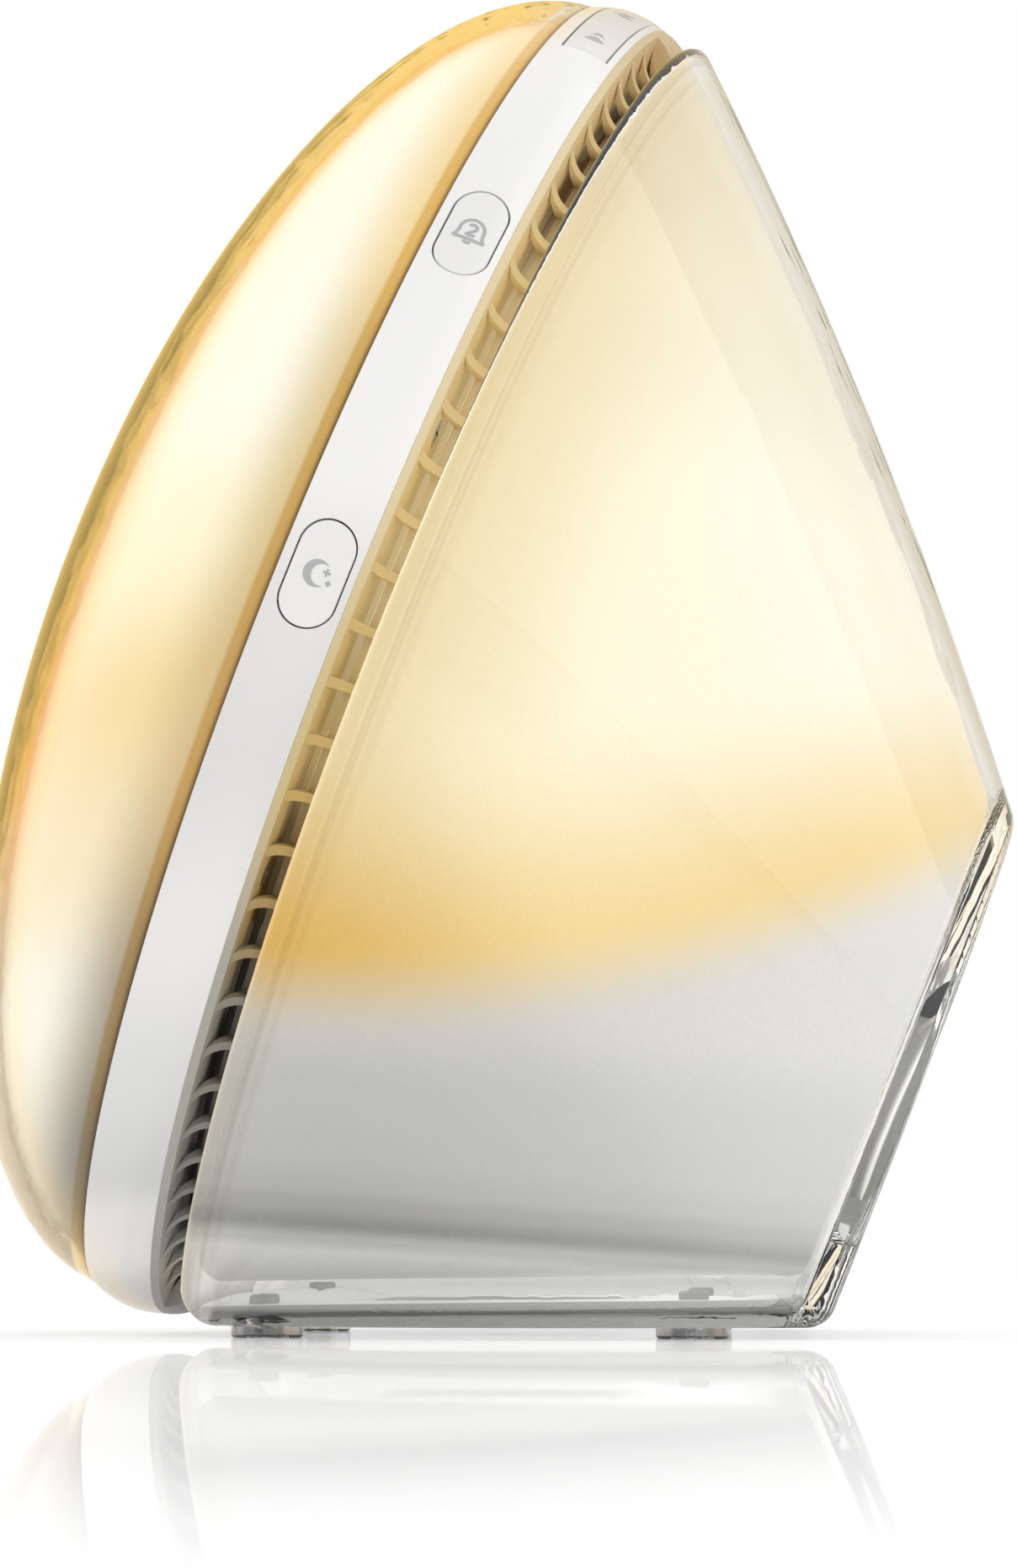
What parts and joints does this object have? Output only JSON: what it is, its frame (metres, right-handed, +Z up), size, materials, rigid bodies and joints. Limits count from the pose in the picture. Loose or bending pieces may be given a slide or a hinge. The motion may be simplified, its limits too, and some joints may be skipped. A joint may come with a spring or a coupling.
{
  "type": "sunrise alarm clock",
  "caption": "Wake-up light with a domed glowing front, a ring of air vents, press buttons round the trim band and a clear rounded rear body on small feet.",
  "frame": {"origin": "bottom centre of the bounding box, in the plane of the feet", "axes": "+Z up, the lit front faces -Y, +X is the right side seen from the front"},
  "size_m": [0.184, 0.147, 0.1918],
  "materials": {
    "clear_acrylic": "clear moulded acrylic, high gloss",
    "opal_acrylic": "opal diffusing acrylic",
    "satin_acrylic": "satin translucent acrylic",
    "white_gloss": "glossy white ABS",
    "cream_plastic": "satin cream ABS",
    "white_plastic": "plain white ABS",
    "grey_plastic": "dark grey moulded plastic",
    "board_white": "white solder mask",
    "board_green": "green solder mask",
    "flex_amber": "polyimide flexible circuit",
    "chip_black": "moulded epoxy",
    "led_cream": "phosphor-coated LED package",
    "digit_glow": "lit display segment",
    "steel": "zinc-plated steel",
    "aluminium": "extruded, plain",
    "brass": "nickel-plated brass",
    "rubber": "clear silicone",
    "rubber_black": "black elastomer",
    "paper": "pressed paper pulp"
  },
  "bodies": {
    "clock": {"antenna_gland": "rubber_black", "backup_capacitor": "aluminium", "base_pan": "satin_acrylic", "base_screws": "steel", "board_connectors": "white_plastic", "board_screws": "steel", "capacitors": "aluminium", "case_screws": "steel", "chassis": "white_plastic", "crystal": "steel", "display_board": "board_green", "display_digits": "digit_glow", "display_housing": "white_plastic", "display_module": "chip_black", "feet": "rubber", "front_cover": "clear_acrylic", "front_diffuser": "opal_acrylic", "heat_sink": "aluminium", "lamp_board": "board_white", "lamp_leds": "led_cream", "main_board": "board_green", "power_jack": "chip_black", "power_pin": "brass", "processor_chips": "chip_black", "rear_diffuser": "satin_acrylic", "rear_lamp_board": "board_white", "rear_leds": "led_cream", "rear_seat_ring": "satin_acrylic", "rear_shell": "clear_acrylic", "ribbon_cable": "grey_plastic", "socket_panel": "white_plastic", "speaker_basket": "grey_plastic", "speaker_cone": "paper", "speaker_dust_cap": "paper", "speaker_magnet": "steel", "speaker_screws": "steel", "speaker_surround": "rubber_black", "switch_flex_board": "flex_amber", "tact_switches": "chip_black", "trim_band": "white_gloss", "tuner_can": "steel", "vent_ring": "cream_plastic"},
    "dusk_button_cap": {"dusk_button": "white_gloss"},
    "alarm_two_button_cap": {"alarm_two_button": "white_gloss"},
    "alarm_one_button_cap": {"alarm_one_button": "white_gloss"},
    "menu_button_cap": {"menu_button": "white_gloss"},
    "dimmer_key_cap": {"dimmer_key": "white_gloss"},
    "brighter_key_cap": {"brighter_key": "white_gloss"},
    "lamp_key_cap": {"lamp_key": "white_gloss"},
    "radio_key_cap": {"radio_key": "white_gloss"},
    "sound_key_cap": {"sound_key": "white_gloss"}
  },
  "joints": [
    {"name": "dusk_button_press", "type": "slide", "parent": "clock", "child": "dusk_button_cap", "axis": [-0.9994, 0.0125, 0.0311], "range_m": [0, 0.0005], "stiffness_N_per_m": 600, "springref_m": -0.0012},
    {"name": "alarm_two_button_press", "type": "slide", "parent": "clock", "child": "alarm_two_button_cap", "axis": [-0.9077, -0.1562, -0.3894], "range_m": [0, 0.0005], "stiffness_N_per_m": 600, "springref_m": -0.0012},
    {"name": "alarm_one_button_press", "type": "slide", "parent": "clock", "child": "alarm_one_button_cap", "axis": [0.9077, -0.1562, -0.3894], "range_m": [0, 0.0005], "stiffness_N_per_m": 600, "springref_m": -0.0012},
    {"name": "menu_button_press", "type": "slide", "parent": "clock", "child": "menu_button_cap", "axis": [0.9994, 0.0125, 0.0311], "range_m": [0, 0.0005], "stiffness_N_per_m": 600, "springref_m": -0.0012},
    {"name": "dimmer_key_press", "type": "slide", "parent": "clock", "child": "dimmer_key_cap", "axis": [0.5883, -0.301, -0.7506], "range_m": [0, 0.0005], "stiffness_N_per_m": 600, "springref_m": -0.0012},
    {"name": "brighter_key_press", "type": "slide", "parent": "clock", "child": "brighter_key_cap", "axis": [0.4208, -0.3376, -0.842], "range_m": [0, 0.0005], "stiffness_N_per_m": 600, "springref_m": -0.0012},
    {"name": "lamp_key_press", "type": "slide", "parent": "clock", "child": "lamp_key_cap", "axis": [0, -0.3722, -0.9282], "range_m": [0, 0.0005], "stiffness_N_per_m": 600, "springref_m": -0.0012},
    {"name": "radio_key_press", "type": "slide", "parent": "clock", "child": "radio_key_cap", "axis": [-0.4208, -0.3376, -0.842], "range_m": [0, 0.0005], "stiffness_N_per_m": 600, "springref_m": -0.0012},
    {"name": "sound_key_press", "type": "slide", "parent": "clock", "child": "sound_key_cap", "axis": [-0.5883, -0.301, -0.7506], "range_m": [0, 0.0005], "stiffness_N_per_m": 600, "springref_m": -0.0012}
  ]
}
